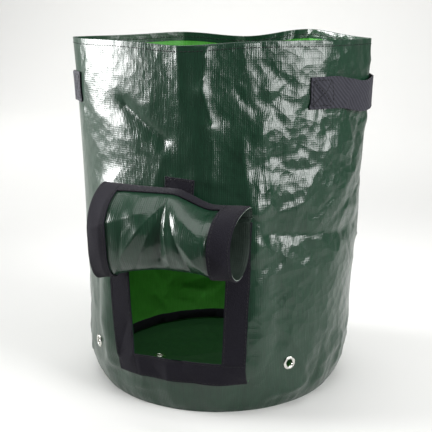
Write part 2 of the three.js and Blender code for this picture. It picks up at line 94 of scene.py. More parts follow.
# How wide in degrees and how deep a fold lifts the rim, where creases fade at the base, and the roll's slant
LIFT_SPREAD, LIFT_HEIGHT, CREASE_FOOT, ROLL_SLANT = 22.0, 130.0, 30.0, 6.0
# Puckers of the base seam: their number round the bag, rise and reach up the wall
PUCKERS, PUCKER_RISE, PUCKER_REACH = 20, 1.1, 20.0
FINE_PUCKERS, FINE_RISE, FINE_REACH = 67, 0.9, 9.0
# Lengths and reaches of the creases that fall by chance
CREASE_LENGTHS, CREASE_REACHES = (18, 62), (4, 9)
# Grid columns round the bag, sides of a turned piece and sides of a thread
WALL_COLUMNS, BASE_COLUMNS, LATHE_STEPS, THREAD_SIDES = 344, 240, 48, 6
# A hole takes out the cells whose middle is this far inside it
HOLE_MARGIN = 0.7

# Folds from the rim: angle, drop, rise, reach, lift of the rim
RIM_FOLDS = (
    (2, 120, 6, 22, -5), (98, 230, 4, 24, 0), (-82, 230, 4, 24, 0),
    (-142, 200, 5, 30, 4), (182, 170, -7, 26, -3), (146, 160, 5, 22, 9),
)
# Creases in the wall: angle and height of both ends, rise, reach
WALL_FOLDS = (
    (36, 345, 34, 215, 4, 18), (38, 226, 82, 212, -5.5, 13), (-28, 374, -6, 335, -6.5, 11),
    (98, 84, 52, 24, 3, 14), (-66, 36, -30, 42, 3, 12), (-150, 250, -115, 190, -4, 18),
    (160, 170, 120, 230, 3, 18), (14, 447, 12, 398, 4, 7), (12, 398, 16, 354, 4.4, 7),
    (16, 354, 15, 290, 3.6, 7), (29, 336, 31, 260, 3, 7), (38, 345, 39, 262, 3.4, 6),
    (-52, 430, -60, 330, 1.6, 9), (60, 96, 78, 88, 2.4, 8), (40, 296, 62, 300, -1.6, 8),
    (34, 290, 44, 268, 1.8, 7), (-50, 70, -46, 18, 1.6, 6), (-60, 64, -62, 20, 1.4, 6),
    (52, 250, 70, 330, 1.8, 8), (70, 330, 62, 400, -1.6, 8), (76, 262, 92, 300, 1.6, 8),
    (-20, 318, 4, 300, -1.5, 9), (24, 60, 40, 30, 1.6, 7),
)
# Creases of the rolled flap, most of them from where the tab pinches it: front view x and z of both ends,
# rise, reach
FLAP_FOLDS = (
    (6, 281, -66, 178, 3.6, 7), (6, 279, -32, 190, -3.2, 6), (6, 279, 14, 194, 2.6, 5),
    (8, 278, 40, 196, -2.6, 5), (-70, 278, -74, 178, 5, 30), (5, 284, 0, 204, -13, 24),
    (54, 264, 62, 190, 5, 20), (10, 277, 78, 214, 2.2, 7), (-20, 262, -84, 236, 2.0, 8),
    (30, 232, 60, 200, 1.8, 6), (-44, 240, -50, 190, -1.6, 6),
)
# Creases of the base: x and y of both ends, rise, reach
BASE_FOLDS = ((-120, -60, 90, 70, 1.6, 14), (-60, 110, 100, -80, 1.2, 12))
# The binding's section: radius, height and how far the sewing draws each corner in
BINDING_SECTION = (
    (159.9, 3.3, 0), (160.8, 3.3, 0), (160.8, 15.6, 0.3), (159.4, 17.2, 1), (158.2, 17.2, 1),
    (156.9, 15.6, 0.6), (156.9, 3.3, 1), (157.8, 3.3, 0), (157.8, 16.3, 0), (159.9, 16.3, 0),
)
# The angle at which the binding is narrowest, how wide that is in degrees, and how much narrower it gets
BINDING_THIN, BINDING_THIN_SPREAD, BINDING_THIN_RISE = -149, 7, 9


def smoothstep(low, high, value):
    """0 below low, 1 above high and smooth between."""
    share = np.clip((value - low) / (high - low), 0, 1)
    return share * share * (3 - 2 * share)


def lerp(start, end, share):
    """From start to end in a straight line."""
    return start + (end - start) * share


def turn_between(a, b):
    """The turn from b to a, from -180 to 180 degrees."""
    return (a - b + 180) % 360 - 180


def through_three(values, along):
    """The quadratic through values at -1, 0 and 1."""
    left, middle, right = values
    return middle + (right - left) / 2 * along + ((right + left) / 2 - middle) * along**2


def line_crease(x, z, fold):
    """A crease along a line in a plane: highest on the line, falling away as e to the -distance/reach."""
    x0, z0, x1, z1, rise, reach = fold
    dx, dz = x1 - x0, z1 - z0
    share = np.clip(((x - x0) * dx + (z - z0) * dz) / (dx * dx + dz * dz), 0, 1)
    return rise * np.exp(-np.hypot(x - x0 - share * dx, z - z0 - share * dz) / reach)


def chance_creases(seed, count, angles, heights, rises):
    """Short creases at random places and turns, as rows of angle and height of both ends, rise and reach."""
    rng = np.random.default_rng(seed)
    angle, z = rng.uniform(*angles, count), rng.uniform(*heights, count)
    turn, length = rng.uniform(0, np.pi, count), rng.uniform(*CREASE_LENGTHS, count)
    end_angle = angle + np.degrees(np.cos(turn) * length / GIRTH_RADIUS)
    rise = rng.uniform(*rises, count) * rng.choice((-1, 1), count)
    reach = rng.uniform(*CREASE_REACHES, count)
    return np.stack([angle, z, end_angle, z + np.sin(turn) * length, rise, reach], 1)


# All over, thicker on the slack panel right of the window, and along the base seam in front and behind
CHANCE_CREASES = np.concatenate([
    chance_creases(7, 140, (-180, 180), (30, 430), (0.4, 1.2)),
    chance_creases(11, 90, (30, 104), (150, 430), (0.8, 2.0)),
    chance_creases(5, 70, (-105, 105), (4, 62), (0.7, 2.2)),
    chance_creases(21, 40, (130, 230), (14, 90), (0.8, 2.0)),
])


def oval_radius(angle, z):
    """The plain bag: a round foot that opens to an oval whose four sides are a little flat at the rim."""
    share = z / BAG_HEIGHT
    foot = BASE_RADIUS + (GIRTH_RADIUS - BASE_RADIUS) * (1 - np.exp(-z / TUCK_HEIGHT))
    half_width = foot + (RIM_HALF_WIDTH - GIRTH_RADIUS) * share
    half_depth = foot + (RIM_HALF_DEPTH - GIRTH_RADIUS) * share
    across = np.abs(np.sin(np.radians(angle - RIM_TURN))) / half_width
    along = np.abs(np.cos(np.radians(angle - RIM_TURN))) / half_depth
    return lerp(1 / np.hypot(across, along), 1 / (across + along), RIM_FLATNESS * share**1.5)


def creased_radius(angle, z):
    """The oval, held flat round the window, with the folds and the puckers of the base seam added."""
    off = np.abs(turn_between(angle, 0))
    flat = WINDOW_FLATNESS * (1 - smoothstep(FLAT_FROM, FLAT_TO, off)) * smoothstep(FLAT_FOOT, SILL_HEIGHT, z)
    flat = flat * (1 - smoothstep(OPENING_TOP, OPENING_TOP + 2 * TAPE_WIDTH, z))
    straight = oval_radius(0, z) / np.cos(np.radians(np.minimum(off, FLAT_TO)))
    radius = lerp(oval_radius(angle, z), straight, flat)
    rise = np.zeros(np.shape(radius))
    for fold_angle, drop, height, reach, _ in RIM_FOLDS:
        across = np.radians(turn_between(angle, fold_angle)) * GIRTH_RADIUS
        below = np.maximum(0, BAG_HEIGHT - drop - z)
        rise += smoothstep(-drop, 0, z - BAG_HEIGHT) * height * np.exp(-np.hypot(across, below) / reach)
    for a0, z0, a1, z1, height, reach in (*WALL_FOLDS, *CHANCE_CREASES):
        x = np.radians(turn_between(angle, a0)) * GIRTH_RADIUS
        end = math.radians(a1 - a0) * GIRTH_RADIUS
        rise += line_crease(x, z, (0, z0, end, z1, height, reach))
    pucker = np.cos(np.radians(PUCKERS * angle)) * (z / PUCKER_REACH) * np.exp(1 - z / PUCKER_REACH)
    uneven = 40 * np.sin(np.radians(5 * angle))
    fine = np.cos(np.radians(FINE_PUCKERS * angle + uneven)) * np.exp(-z / FINE_REACH) * smoothstep(0, 6, z)
    return radius + rise * smoothstep(0, CREASE_FOOT, z) + PUCKER_RISE * pucker + FINE_RISE * fine


def wall_radius(angle, z):
    """The creased wall, laid flat under each eyelet."""
    radius = creased_radius(angle, z)
    for eyelet_angle in WALL_EYELET_ANGLES:
        turn = np.radians(turn_between(angle, eyelet_angle))
        away = np.hypot(turn * GIRTH_RADIUS, z - WALL_EYELET_HEIGHT)
        seat = eyelet_radius(eyelet_angle) / np.cos(np.clip(turn, -1, 1))
        radius = lerp(seat, radius, smoothstep(SEAT_RADIUS, 2 * SEAT_RADIUS, away))
    return radius


def eyelet_radius(angle):
    """The CAD wall's radius under an eyelet, which is a little more than that of the eyelet's middle."""
    low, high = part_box(f"wall_eyelet_{WALL_EYELET_ANGLES.index(angle) + 1}")
    middle = (np.array(low) + np.array(high)) * 500 - np.array([*axis_offset(WALL_EYELET_HEIGHT), 0])
    return math.hypot(middle[0], middle[1]) + EYELET_DEPTH


def axis_offset(z):
    """The bag leans back a little and bows sideways."""
    share = z / BAG_HEIGHT
    return LEAN_X * share + BOW * np.sin(np.pi * share), LEAN_Y * share


def wall_frame(angle, z):
    """Points of the wall's outer face and their level normals."""
    angle, z = np.broadcast_arrays(np.asarray(angle, float), np.asarray(z, float))
    radius = wall_radius(angle, z)
    step = 0.5
    slope = (wall_radius(angle + step, z) - wall_radius(angle - step, z)) / math.radians(2 * step)
    size = np.hypot(radius, slope)
    out, aside = radius / size, -slope / size
    sine, cosine = np.sin(np.radians(angle)), np.cos(np.radians(angle))
    lift = sum(rise * np.exp(-((turn_between(angle, at) / LIFT_SPREAD) ** 2))
               for at, _, _, _, rise in RIM_FOLDS)
    x, y = axis_offset(z)
    height = z + lift * smoothstep(BAG_HEIGHT - LIFT_HEIGHT, BAG_HEIGHT, z)
    point = np.stack([sine * radius + x, y - cosine * radius, height], -1)
    level = np.zeros(np.shape(z))
    return point, np.stack([sine * out + cosine * aside, sine * aside - cosine * out, level], -1)


def wall_point(angle, z, out):
    """Points at a distance outside the wall's outer face."""
    point, normal = wall_frame(angle, z)
    return point + normal * np.asarray(out)[..., None]


def level_ring(angle, radius, height):
    """Points round the upright axis at angles, a radius and a height."""
    turn = np.radians(angle)
    return np.stack(np.broadcast_arrays(radius * np.sin(turn), -radius * np.cos(turn), height), -1)


def angle_at_x(x, z):
    """The angle at which the front of the wall has a given x."""
    x, z = np.broadcast_arrays(np.asarray(x, float), np.asarray(z, float))
    angle = np.degrees(np.arcsin(x / GIRTH_RADIUS))
    for _ in range(5):
        angle = np.degrees(np.arcsin(np.clip((x - axis_offset(z)[0]) / wall_radius(angle, z), -0.98, 0.98)))
    return angle


def tape_faces(x, z):
    """Outer and inner face of a tape sewn on the front of the wall, and its normals."""
    point, normal = wall_frame(angle_at_x(x, z), z)
    return point + normal * (CLEARANCE + TAPE_THICKNESS), point + normal * CLEARANCE, normal


def long_edges(face, normal, inset):
    """Lines along the two long sides of a tape's face, some grid steps in from the edge."""
    if face.shape[0] > face.shape[1]:
        face, normal = face.swapaxes(0, 1), normal.swapaxes(0, 1)
    return [(face[row], normal[row]) for row in (inset, -1 - inset)]


def window_shift(x, z):
    """The window narrows towards the base: how far an upright line moves in."""
    depth = np.maximum(0, OPENING_TOP - z) / (OPENING_TOP - SILL_HEIGHT + TAPE_WIDTH)
    return np.where(x < 0, TAPER_LEFT, TAPER_RIGHT) * depth**2


def cells(rows, columns, closed=False):
    """Corner numbers of a grid's cells, as an array of rows by columns by four."""
    number = np.arange(rows * columns).reshape(rows, columns)
    beside = np.roll(number, -1, 1) if closed else number[:, 1:]
    number = number if closed else number[:, :-1]
    return np.stack([number[:-1], beside[:-1], beside[1:], number[1:]], -1)


def cell_centres(grid):
    """Middle of each cell of a closed grid."""
    corners = [np.roll(grid[a : len(grid) - 1 + a], -b, 1) for a in (0, 1) for b in (0, 1)]
    return sum(corners) / 4


def strip(below, above):
    """Quads between two closed rings of corner numbers."""
    return np.stack([below, np.roll(below, -1), np.roll(above, -1), above], -1)


def hole_edges(keep, over, under):
    """Quads that join two closed layers round the cells that are left out."""
    beside = np.roll(keep, 1, 1)
    quads = []
    for edge, after in ((beside & ~keep, False), (keep & ~beside, True)):
        row, column = np.nonzero(edge)
        a, b = (row, row + 1) if after else (row + 1, row)
        quads.append(np.stack([over[a, column], over[b, column], under[b, column], under[a, column]], -1))
    for edge, after in ((keep[:-1] & ~keep[1:], False), (keep[1:] & ~keep[:-1], True)):
        row, column = np.nonzero(edge)
        row, beyond = row + 1, (column + 1) % keep.shape[1]
        a, b = (beyond, column) if after else (column, beyond)
        quads.append(np.stack([over[row, a], over[row, b], under[row, b], under[row, a]], -1))
    return np.concatenate(quads)


def closed_sheet(over, under):
    """Points and quads of a sheet between two grids, closed along its four edges."""
    rows, columns = over.shape[:2]
    face = cells(rows, columns).reshape(-1, 4)
    lifted = rows * columns
    number = np.arange(lifted).reshape(rows, columns)
    border = np.concatenate([number[0, :-1], number[:-1, -1], number[-1, :0:-1], number[:0:-1, 0]])
    ahead = np.roll(border, -1)
    edge = np.stack([border, border + lifted, ahead + lifted, ahead], -1)
    points = np.concatenate([over.reshape(-1, 3), under.reshape(-1, 3)])
    return points, np.concatenate([face, face[:, ::-1] + lifted, edge])


def signed_volume(points, quads):
    """Six times the volume inside the quads, negative if they face inwards."""
    a, b, c, d = (points[quads[:, i]] for i in range(4))
    return np.sum(np.cross(a, b) * c) + np.sum(np.cross(a, c) * d)


def make_piece(name, points, quads, uv, materials, slots=None, fans=(), sharp=45):
    """A mesh of quads, and of triangles in fans, with its UV in metres along the sheet.

    Slots give each face's material. Edges sharper than an angle in degrees stay sharp.
    """
    if signed_volume(points, quads) < 0:
        quads = quads[:, ::-1]
        fans = [fan[:, ::-1] for fan in fans]
    mesh = bpy.data.meshes.new(name)
    faces = quads.tolist() + [face for fan in fans for face in fan.tolist()]
    mesh.from_pydata((points / 1000).tolist(), [], faces)
    corner = np.empty(len(mesh.loops), int)
    mesh.loops.foreach_get("vertex_index", corner)
    flat = uv[corner]
    # A face across the back seam has corners at both ends of the sheet: those at its start move on by a girth
    girth = math.tau * GIRTH_RADIUS / 1000
    u = flat[: quads.size, 0].reshape(-1, 4)
    u += girth * ((u.max(1, keepdims=True) - u) > girth / 2)
    mesh.uv_layers.new(name="Sheet").data.foreach_set("uv", flat.ravel())
    mesh.polygons.foreach_set("use_smooth", np.ones(len(faces), bool))
    for material in materials:
        mesh.materials.append(material)
    if slots is not None:
        mesh.polygons.foreach_set("material_index", slots.astype(np.int32))
    mesh.set_sharp_from_angle(angle=math.radians(sharp))
    mesh.update()
    piece = bpy.data.objects.new(name, mesh)
    bpy.context.scene.collection.objects.link(piece)
    return piece


def settle(piece, slot, *nodes):
    """The piece goes with the bag and stands for its CAD nodes, which are hidden. The slot is not used."""
    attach(piece, "root")
    if nodes:
        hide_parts(*nodes)


def sheet_piece(name, over, under, width, length, material, sharp=45):
    """A closed sheet whose UV runs over its width and length in millimetres."""
    points, quads = closed_sheet(over, under)
    u, v = np.meshgrid(np.linspace(0, width, over.shape[1]), np.linspace(0, length, over.shape[0]))
    uv = np.tile(np.stack([u, v], -1).reshape(-1, 2) / 1000, (2, 1))
    return make_piece(name, points, quads, uv, [material], sharp=sharp)


def lathe(name, profile, place, turn, material):
    """A closed profile of radius and height turned about an axis, then turned and placed."""
    angle = np.linspace(0, math.tau, LATHE_STEPS, endpoint=False)
    radius, height = np.array(profile).T
    ring = np.stack([np.outer(np.cos(angle), radius), np.outer(np.sin(angle), radius),
                     np.broadcast_to(height, (LATHE_STEPS, len(height)))], -1)
    points = ring.reshape(-1, 3) @ np.array(turn).T + place
    number = np.arange(LATHE_STEPS * len(profile)).reshape(LATHE_STEPS, -1)
    quads = np.concatenate([strip(*pair) for pair in zip(number, np.roll(number, -1, 0))])
    uv = np.stack([points[:, 0], points[:, 2]], -1) / 1000
    return make_piece(name, points, quads, uv, [material], sharp=50)


def row_at(values, along, places):
    """Rows of values at places along a line."""
    return np.stack([np.interp(places, along, values[:, i]) for i in range(3)], -1)


def stitch_piece(name, lines, settings, material):
    """Thread stitches along lines of points with normals: short rods, a little flat, thin at their ends."""
    length = settings.stitch_length * 1000
    pitch = (settings.stitch_length + settings.stitch_gap) * 1000
    starts, ends, ups = [], [], []
    for points, normals in lines:
        along = np.concatenate([[0], np.cumsum(np.linalg.norm(np.diff(points, axis=0), axis=1))])
        first = np.arange(0.4, along[-1] - length, pitch)
        starts.append(row_at(points, along, first))
        ends.append(row_at(points, along, first + length))
        ups.append(row_at(normals, along, first + length / 2))
    start, end, up = np.concatenate(starts), np.concatenate(ends), np.concatenate(ups)
    ahead = end - start
    up = up / np.linalg.norm(up, axis=1, keepdims=True)
    side = np.cross(up, ahead)
    side = side / np.linalg.norm(side, axis=1, keepdims=True)
    share = np.array([0, 0.22, 0.78, 1])
    radius = settings.thread_width * 500 * np.array([0.4, 1, 1, 0.4])
    angle = np.linspace(0, math.tau, THREAD_SIDES, endpoint=False)
    sides = radius[:, None] * np.cos(angle)
    rises = radius[:, None] * 0.7 * np.sin(angle)
    points = (start[:, None, None] + ahead[:, None, None] * share[:, None, None]
              + side[:, None, None] * sides[..., None] + up[:, None, None] * rises[..., None])
    rod = cells(len(share), THREAD_SIDES, closed=True).reshape(-1, 4)
    # Two quads close each end of a rod
    caps = np.array([[3, 2, 1, 0], [5, 4, 3, 0], [18, 19, 20, 21], [18, 21, 22, 23]])
    one = np.concatenate([rod, caps])
    corners = len(share) * THREAD_SIDES
    quads = (one[None] + corners * np.arange(len(start))[:, None, None]).reshape(-1, 4)
    flat = points.reshape(-1, 3)
    return make_piece(name, flat, quads, flat[:, ::2] / 1000, [material], sharp=80)


def roll_path(x):
    """The flap's path in the plane across the roll: distance from the wall and height, a column for each x.

    It steps off the wall and hangs, goes round the lower half of an oval, over the top and down behind.
    """
    along = x / FLAP_HALF_WIDTH
    top = lerp(*ROLL_TOPS, smoothstep(0, 50, x - TAB_OFFSET))
    bottom = through_three(ROLL_BOTTOMS, along)
    depth = through_three(ROLL_DEPTHS, along)
    front, turn = FLAP_BACK + depth, TUCKED + TUCKED_RADIUS
    hung = np.minimum((top + bottom) / 2, OPENING_TOP - 2 * FLAP_STEP)
    fine = np.linspace(0, 1, 41)[1:, None]
    lower, upper = np.pi * (1 + fine), np.pi / 2 * fine
    ones = np.ones_like(x)
    parts = [
        (FLAP_SEAM * ones[None], OPENING_TOP * ones[None]),
        (lerp(FLAP_SEAM, FLAP_BACK, fine) * ones, (OPENING_TOP - FLAP_STEP * fine) * ones),
        (FLAP_BACK * ones * np.ones_like(fine), lerp(OPENING_TOP - FLAP_STEP, hung, fine)),
        (front - depth / 2 * (1 - np.cos(lower)), hung + (hung - bottom) * np.sin(lower)),
        (turn + (front - turn) * np.cos(upper), hung + (top - hung) * np.sin(upper)),
        (turn - TUCKED_RADIUS * np.sin(upper) * ones, top - TUCKED_RADIUS * (1 - np.cos(upper))),
        (TUCKED * ones * np.ones_like(fine), top - lerp(TUCKED_RADIUS, TUCKED_LENGTH, fine)),
    ]
    return np.concatenate([part[0] for part in parts]), np.concatenate([part[1] for part in parts])


def flap_middle(x, lengths):
    """Points in the middle of the flap's thickness at lengths from its seam, without its creases."""
    out, height = roll_path(x)
    steps = np.hypot(np.diff(out, axis=0), np.diff(height, axis=0))
    along = np.concatenate([np.zeros((1, len(x))), np.cumsum(steps, 0)])
    along = along * FLAP_LENGTH / along[-1]
    free = np.maximum(lengths, 0)
    out = np.stack([np.interp(free, along[:, i], out[:, i]) for i in range(len(x))], 1)
    height = np.stack([np.interp(free, along[:, i], height[:, i]) for i in range(len(x))], 1)
    share = x / FLAP_HALF_WIDTH
    bulge = np.clip((out - FLAP_BACK) / through_three(ROLL_DEPTHS, share), 0, 1)
    wall = wall_point(angle_at_x(x, OPENING_TOP), OPENING_TOP, CLEARANCE)[:, 1]
    middle = wall_point(angle_at_x(0.0, OPENING_TOP), OPENING_TOP, CLEARANCE)[1]
    y = lerp(wall, middle, 0.5 * bulge) - out
    points = np.stack([x - ROLL_SLANT * np.maximum(0, share) ** 3 * bulge, y, height], -1)
    sewn = lengths <= 0
    z = OPENING_TOP - lengths[sewn][:, None]
    points[sewn] = wall_point(angle_at_x(np.broadcast_to(x, (len(z), len(x))), z), z, FLAP_SEAM + CLEARANCE)
    return points, bulge


def grid_normals(points):
    """Unit normals of a grid of points, from its steps across and down."""
    normal = np.cross(np.gradient(points, axis=1), np.gradient(points, axis=0))
    return normal / np.linalg.norm(normal, axis=-1, keepdims=True)


def flap_frame(x, lengths):
    """Points of the creased flap and their normals, towards the roll's outside."""
    points, bulge = flap_middle(x, lengths)
    normal = grid_normals(points)
    rise = sum(line_crease(points[..., 0], points[..., 2], fold) for fold in FLAP_FOLDS)
    # Ripples half a millimetre high and about 32 mm apart, bent along their length
    ripple = 0.5 * np.sin(points[..., 0] / 5.1 + 1.3 * np.sin(points[..., 2] / 13))
    points = points + normal * ((rise + ripple) * smoothstep(0.35, 0.95, bulge))[..., None]
    return points, grid_normals(points)


def linear(hex_colour):
    """An sRGB hex colour as linear red, green and blue."""
    values = np.array([int(hex_colour[i : i + 2], 16) / 255 for i in (1, 3, 5)])
    return tuple(np.where(values <= 0.04045, values / 12.92, ((values + 0.055) / 1.055) ** 2.4).tolist())


def add_node(tree, kind, inputs=None, **settings):
    """A node with its settings, and its inputs set or linked."""
    node = tree.nodes.new(kind)
    for key, value in settings.items():
        setattr(node, key, value)
    for key, value in (inputs or {}).items():
        if isinstance(value, bpy.types.NodeSocket):
            tree.links.new(value, node.inputs[key])
        else:
            node.inputs[key].default_value = value
    return node


def new_material(name):
    """A material with its node tree and its shader."""
    material = bpy.data.materials.new(name)
    material.use_nodes = True
    return material, material.node_tree, material.node_tree.nodes["Principled BSDF"]


def blend(tree, factor, low, high):
    """A colour between two, by a factor."""
    inputs = {"Factor": factor, "A": (*low, 1), "B": (*high, 1)}
    return add_node(tree, "ShaderNodeMix", inputs, data_type="RGBA").outputs["Result"]


def bump_chain(tree, layers):
    """The normal after layers of bump, each a height, a strength and a distance in metres."""
    normal = {}
    for height, strength, distance in layers:
        inputs = {"Height": height, "Strength": strength, "Distance": distance, **normal}
        normal = {"Normal": add_node(tree, "ShaderNodeBump", inputs).outputs["Normal"]}
    return normal["Normal"]


def set_shader(tree, shader, **inputs):
    """Set or link the shader's inputs, named with underscores for spaces."""
    for key, value in inputs.items():
        socket = shader.inputs[key.replace("_", " ")]
        if isinstance(value, bpy.types.NodeSocket):
            tree.links.new(value, socket)
        else:
            socket.default_value = value


def wave_scale(period):
    """The Wave texture's scale for bands of a period in metres."""
    return math.tau / 20 / period


def tarpaulin(name, colour, deep, roughness, coat, crumple):
    """Woven polyethylene film: two sets of flat tapes under a clear coat, streaked and crumpled."""
    material, tree, shader = new_material(name)
    uv = add_node(tree, "ShaderNodeTexCoord").outputs["UV"]
    # Film tapes are about 1.2 mm wide. They are drawn twice as wide, so that they show as fine glints.
    inputs = {"Vector": uv, "Scale": wave_scale(0.0024), "Distortion": 0.6, "Detail Scale": 1.0}
    warp = add_node(tree, "ShaderNodeTexWave", inputs, bands_direction="X").outputs["Fac"]
    inputs = {"Vector": uv, "Scale": wave_scale(0.0026)}
    weft = add_node(tree, "ShaderNodeTexWave", inputs, bands_direction="Y").outputs["Fac"]
    # Streaks about 2 mm wide and 22 mm long
    inputs = {"Vector": uv, "Scale": (560.0, 45.0, 1.0)}
    stretched = add_node(tree, "ShaderNodeMapping", inputs).outputs["Vector"]
    inputs = {"Vector": stretched, "Scale": 1.0, "Detail": 2.0}
    streak = add_node(tree, "ShaderNodeTexNoise", inputs).outputs["Fac"]
    broad, small = (
        add_node(tree, "ShaderNodeTexVoronoi", {"Vector": uv, "Scale": 1 / size}).outputs["Distance"]
        for size in (0.030, 0.012))
    # Crumples grow from 40 to 130 mm round from the window's middle, towards the slack panel on the right
    along = add_node(tree, "ShaderNodeSeparateXYZ", {"Vector": uv}).outputs["X"]
    inputs = {"Value": along, "From Min": 0.04, "From Max": 0.13, "To Min": 0.4 * crumple, "To Max": crumple}
    slack = add_node(tree, "ShaderNodeMapRange", inputs).outputs["Result"]
    layers = ((broad, slack, 0.004), (small, slack, 0.0016), (streak, 0.4, 0.0006), (warp, 0.3, 0.0003),
              (weft, 0.2, 0.00015))
    normal = bump_chain(tree, layers)
    set_shader(tree, shader, Base_Color=blend(tree, streak, deep, colour), Normal=normal, Coat_Normal=normal,
               Roughness=roughness, Specular_IOR_Level=0.35, Coat_Weight=coat, Coat_Roughness=0.2)
    return material


def matte_tape(name, colour):
    """Hook and loop or binding tape: a dull pile that lights up a little at its edges."""
    material, tree, shader = new_material(name)
    place = add_node(tree, "ShaderNodeTexCoord").outputs["Object"]
    # Loops of the pile are about 0.5 mm wide, drawn 1.2 mm wide so that they show
    inputs = {"Vector": place, "Scale": 1 / 0.0012, "Detail": 3.0}
    pile = add_node(tree, "ShaderNodeTexNoise", inputs).outputs["Fac"]
    pale = tuple(3.2 * part for part in colour)
    normal = bump_chain(tree, [(pile, 0.7, 0.0008)])
    set_shader(tree, shader, Base_Color=blend(tree, pile, colour, pale), Normal=normal, Roughness=0.9,
               Specular_IOR_Level=0.12, Sheen_Weight=0.04)
    return material


def twill_webbing(name, colour):
    """Twill-woven webbing: slanting ribs, drawn 4.8 mm apart, twice as far as real ones, so they show."""
    material, tree, shader = new_material(name)
    uv = add_node(tree, "ShaderNodeTexCoord").outputs["UV"]
    inputs = {"Vector": uv, "Scale": wave_scale(0.0034), "Distortion": 0.5}
    rib = add_node(tree, "ShaderNodeTexWave", inputs, bands_direction="DIAGONAL").outputs["Fac"]
    # Painted shade: the grooves between the ribs take a darker colour
    dark = tuple(0.6 * part for part in colour)
    normal = bump_chain(tree, [(rib, 0.6, 0.0008)])
    set_shader(tree, shader, Base_Color=blend(tree, rib, dark, colour), Normal=normal, Roughness=0.75,
               Specular_IOR_Level=0.2, Sheen_Weight=0.05)
    return material


def plain_material(name, colour, roughness, metal=0.0):
    """One colour and finish all over."""
    material, tree, shader = new_material(name)
    set_shader(tree, shader, Base_Color=(*colour, 1), Roughness=roughness, Metallic=metal)
    return material


def finish(name, make, *values, **named):
    """The material of that name, made when it is first asked for."""
    return bpy.data.materials.get(name) or make(name, *values, **named)


def film(kind, settings, colour, deep, roughness, coat=0.0):
    """A woven film in two of the settings' colours."""
    colours = [getattr(settings, f"{name}_colour") for name in (colour, deep)]
    return finish(f"Woven polyethylene, {kind}", tarpaulin, *colours, roughness, coat, settings.crumple)


def outside_film(settings):
    """Dark green glossy film on the bag's outside."""
    return film("coated outside", settings, "outside", "outside_deep", roughness=0.3, coat=0.4)


def inside_film_painted_glow(settings):
    """Brighter green film on the bag's inside: its own green, made lighter to paint the light that comes
    through the thin film.
    """
    return film("plain inside", settings, "inside", "inside_deep", roughness=0.5)


def shaded_lining_film(settings):
    """The flap's dull inner face, painted dark for the shade inside the roll."""
    return film("uncoated", settings, "shaded_lining", "shaded_lining", roughness=0.7)


def base_film(settings):
    """The base's film, duller where it has lain on the ground."""
    return film("base", settings, "base", "outside", roughness=0.5)


def black_tape(settings):
    """Black pile of the tapes and the seam's binding."""
    return finish("Hook and loop tape, woven pile", matte_tape, settings.tape_colour)


def thread(settings):
    """Dark sewing thread."""
    return finish("Polyester thread, twisted", plain_material, settings.thread_colour, roughness=0.9)


def nickel(settings):
    """Bright pressed metal of the eyelets."""
    return finish("Steel, nickel plated", plain_material, settings.nickel_colour, roughness=0.22, metal=1.0)


def colour_setting(name, about, hex_colour):
    """A colour in the panel."""
    colour = linear(hex_colour)
    return bpy.props.FloatVectorProperty(name=name, description=about, default=colour, subtype="COLOR")


def length_setting(name, about, metres):
    """A length in the panel."""
    return bpy.props.FloatProperty(name=name, description=about, default=metres, unit="LENGTH")


class PlanterBagSettings(bpy.types.PropertyGroup):
    """Sizes and colours of the bag's looks."""

    sheet_thickness: length_setting("Sheet", "Thickness of the woven sheet", 0.0006)
    crumple: bpy.props.FloatProperty(
        name="Crumple", description="How strongly crumples show", default=0.6, min=0, max=1, subtype="FACTOR")
    stitch_length: length_setting("Stitch", "Length of one stitch", 0.0036)
    stitch_gap: length_setting("Gap", "Gap between stitches", 0.0012)
    thread_width: length_setting("Thread", "Width of the thread", 0.001)
    outside_colour: colour_setting("Outside", "Colour of the outside", "#183C29")
    outside_deep_colour: colour_setting("Outside streaks", "Darker streaks of the outside", "#0E2519")
    # The inside's own green, made lighter as painted light that comes through the thin film
    inside_colour: colour_setting("Inside", "Colour of the inside", "#51A43E")
    inside_deep_colour: colour_setting("Inside streaks", "Darker streaks of the inside", "#3E862E")
    base_colour: colour_setting("Base", "Colour of the base", "#234F20")
    # The flap's inner face is painted near black, as painted shade inside the roll
    shaded_lining_colour: colour_setting("Flap inside", "Colour of the flap's inner face", "#0F1F17")
    edge_colour: colour_setting("Cut edge", "Colour of the flap's cut edges", "#8E9A90")
    tape_colour: colour_setting("Tape", "Colour of tape and binding", "#111015")
    webbing_colour: colour_setting("Webbing", "Colour of the handles", "#33333B")
    thread_colour: colour_setting("Thread colour", "Colour of the stitches", "#0E0F12")
    nickel_colour: colour_setting("Nickel", "Colour of the eyelets", "#D8D8D2")


